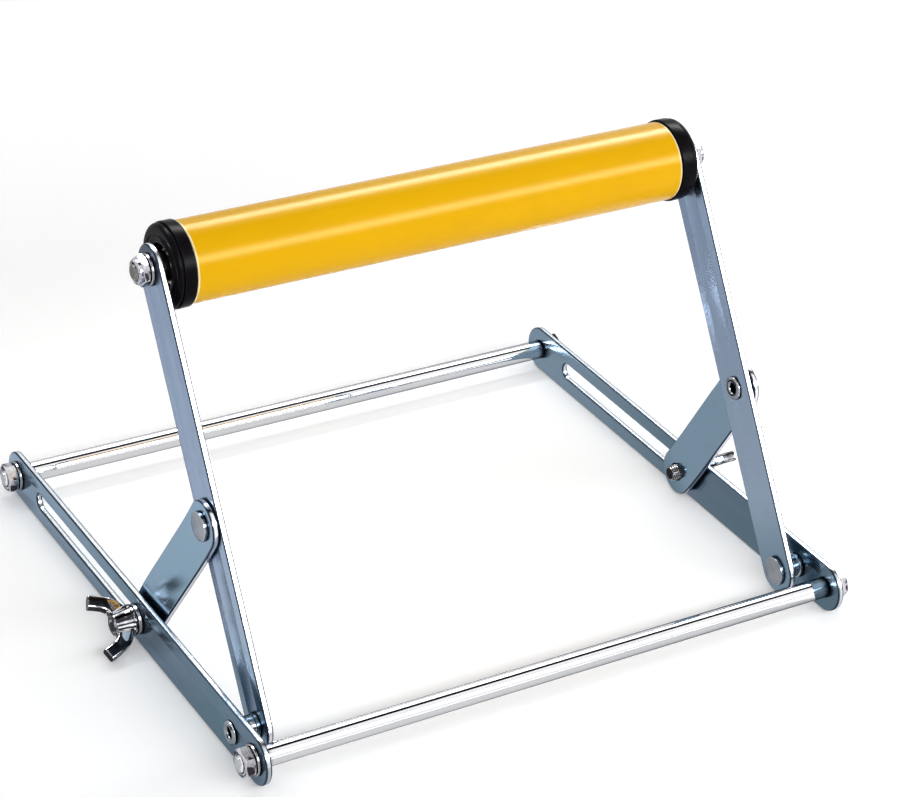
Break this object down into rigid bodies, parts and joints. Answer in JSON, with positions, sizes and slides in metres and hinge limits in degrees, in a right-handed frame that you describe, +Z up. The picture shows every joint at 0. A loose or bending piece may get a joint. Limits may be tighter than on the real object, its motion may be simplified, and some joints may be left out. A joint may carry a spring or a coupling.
{
  "type": "material support stand",
  "caption": "Folding roller stand for holding up pipe or bar stock: slotted flat-bar base, two leaning arms with brace links and wing bolts, and a yellow roller between them.",
  "frame": {"origin": "centre of the footprint, on the floor under the rails", "axes": "+X along the roller to the right seen from the front rod, +Y towards the back where the slots end, +Z up"},
  "size_m": [0.3526, 0.284, 0.2055],
  "materials": {
    "blue_zinc": "bluish zinc plating, soft sheen",
    "bright_zinc": "bright zinc plating",
    "polished_chrome": "polished",
    "bearing_steel": "ground and oiled",
    "yellow_enamel": "glossy enamel",
    "black_plastic": "satin"
  },
  "bodies": {
    "base": {"left_side_rail": "blue_zinc", "right_side_rail": "blue_zinc", "front_cross_rod": "polished_chrome", "rear_cross_rod": "polished_chrome", "front_left_nut": "bright_zinc", "front_right_nut": "bright_zinc", "rear_left_nut": "bright_zinc", "rear_right_nut": "bright_zinc", "front_left_washer": "bright_zinc", "front_right_washer": "bright_zinc", "rear_left_washer": "bright_zinc", "rear_right_washer": "bright_zinc", "left_pivot_rivet": "bright_zinc", "right_pivot_rivet": "bright_zinc", "left_pivot_bush": "blue_zinc", "right_pivot_bush": "blue_zinc"},
    "arm_frame": {"left_arm": "blue_zinc", "right_arm": "blue_zinc", "roller_axle": "bearing_steel", "left_axle_washer": "bright_zinc", "right_axle_washer": "bright_zinc", "left_axle_nut": "bright_zinc", "right_axle_nut": "bright_zinc", "left_axle_spacer": "bearing_steel", "right_axle_spacer": "bearing_steel", "left_link_rivet": "bright_zinc", "right_link_rivet": "bright_zinc", "left_bearing_inner_ring": "bearing_steel", "right_bearing_inner_ring": "bearing_steel"},
    "roller": {"roller_tube": "yellow_enamel", "left_end_cap": "black_plastic", "right_end_cap": "black_plastic", "left_bearing_outer_ring": "bearing_steel", "right_bearing_outer_ring": "bearing_steel"},
    "left_ball_cage": {"left_ball_cage": "bearing_steel"},
    "right_ball_cage": {"right_ball_cage": "bearing_steel"},
    "left_link": {"left_brace_link": "blue_zinc", "left_clamp_spacer": "bright_zinc", "left_clamp_washer": "bright_zinc"},
    "right_link": {"right_brace_link": "blue_zinc", "right_clamp_spacer": "bright_zinc", "right_clamp_washer": "bright_zinc"},
    "left_wing_bolt": {"left_wing_bolt": "polished_chrome"},
    "right_wing_bolt": {"right_wing_bolt": "polished_chrome"}
  },
  "joints": [
    {"name": "arm_fold", "type": "hinge", "parent": "base", "child": "arm_frame", "pos_m": [0, -0.108, 0.012], "axis": [1, 0, 0], "range_deg": [-52.2, 0]},
    {"name": "left_link_fold", "type": "hinge", "parent": "arm_frame", "child": "left_link", "pos_m": [-0.1449, -0.05911, 0.08875], "axis": [1, 0, 0], "range_deg": [0, 104.4]},
    {"name": "right_link_fold", "type": "hinge", "parent": "arm_frame", "child": "right_link", "pos_m": [0.1449, -0.05911, 0.08875], "axis": [1, 0, 0], "range_deg": [0, 104.4]},
    {"name": "roller_spin", "type": "hinge", "parent": "arm_frame", "child": "roller", "pos_m": [0, 0.00268, 0.18574], "axis": [1, 0, 0], "continuous": true},
    {"name": "left_cage_spin", "type": "hinge", "parent": "arm_frame", "child": "left_ball_cage", "pos_m": [0, 0.00268, 0.18574], "axis": [1, 0, 0], "continuous": true},
    {"name": "right_cage_spin", "type": "hinge", "parent": "arm_frame", "child": "right_ball_cage", "pos_m": [0, 0.00268, 0.18574], "axis": [1, 0, 0], "continuous": true},
    {"name": "left_wing_turn", "type": "hinge", "parent": "left_link", "child": "left_wing_bolt", "pos_m": [-0.1574, -0.01021, 0.012], "axis": [1, 0, 0], "continuous": true},
    {"name": "right_wing_turn", "type": "hinge", "parent": "right_link", "child": "right_wing_bolt", "pos_m": [0.1574, -0.01021, 0.012], "axis": [1, 0, 0], "continuous": true}
  ],
  "couplings": [
    {"joint": "left_link_fold", "follows": "arm_fold", "ratio": -2},
    {"joint": "right_link_fold", "follows": "arm_fold", "ratio": -2},
    {"joint": "left_cage_spin", "follows": "roller_spin", "ratio": 0.6257},
    {"joint": "right_cage_spin", "follows": "roller_spin", "ratio": 0.6257}
  ]
}
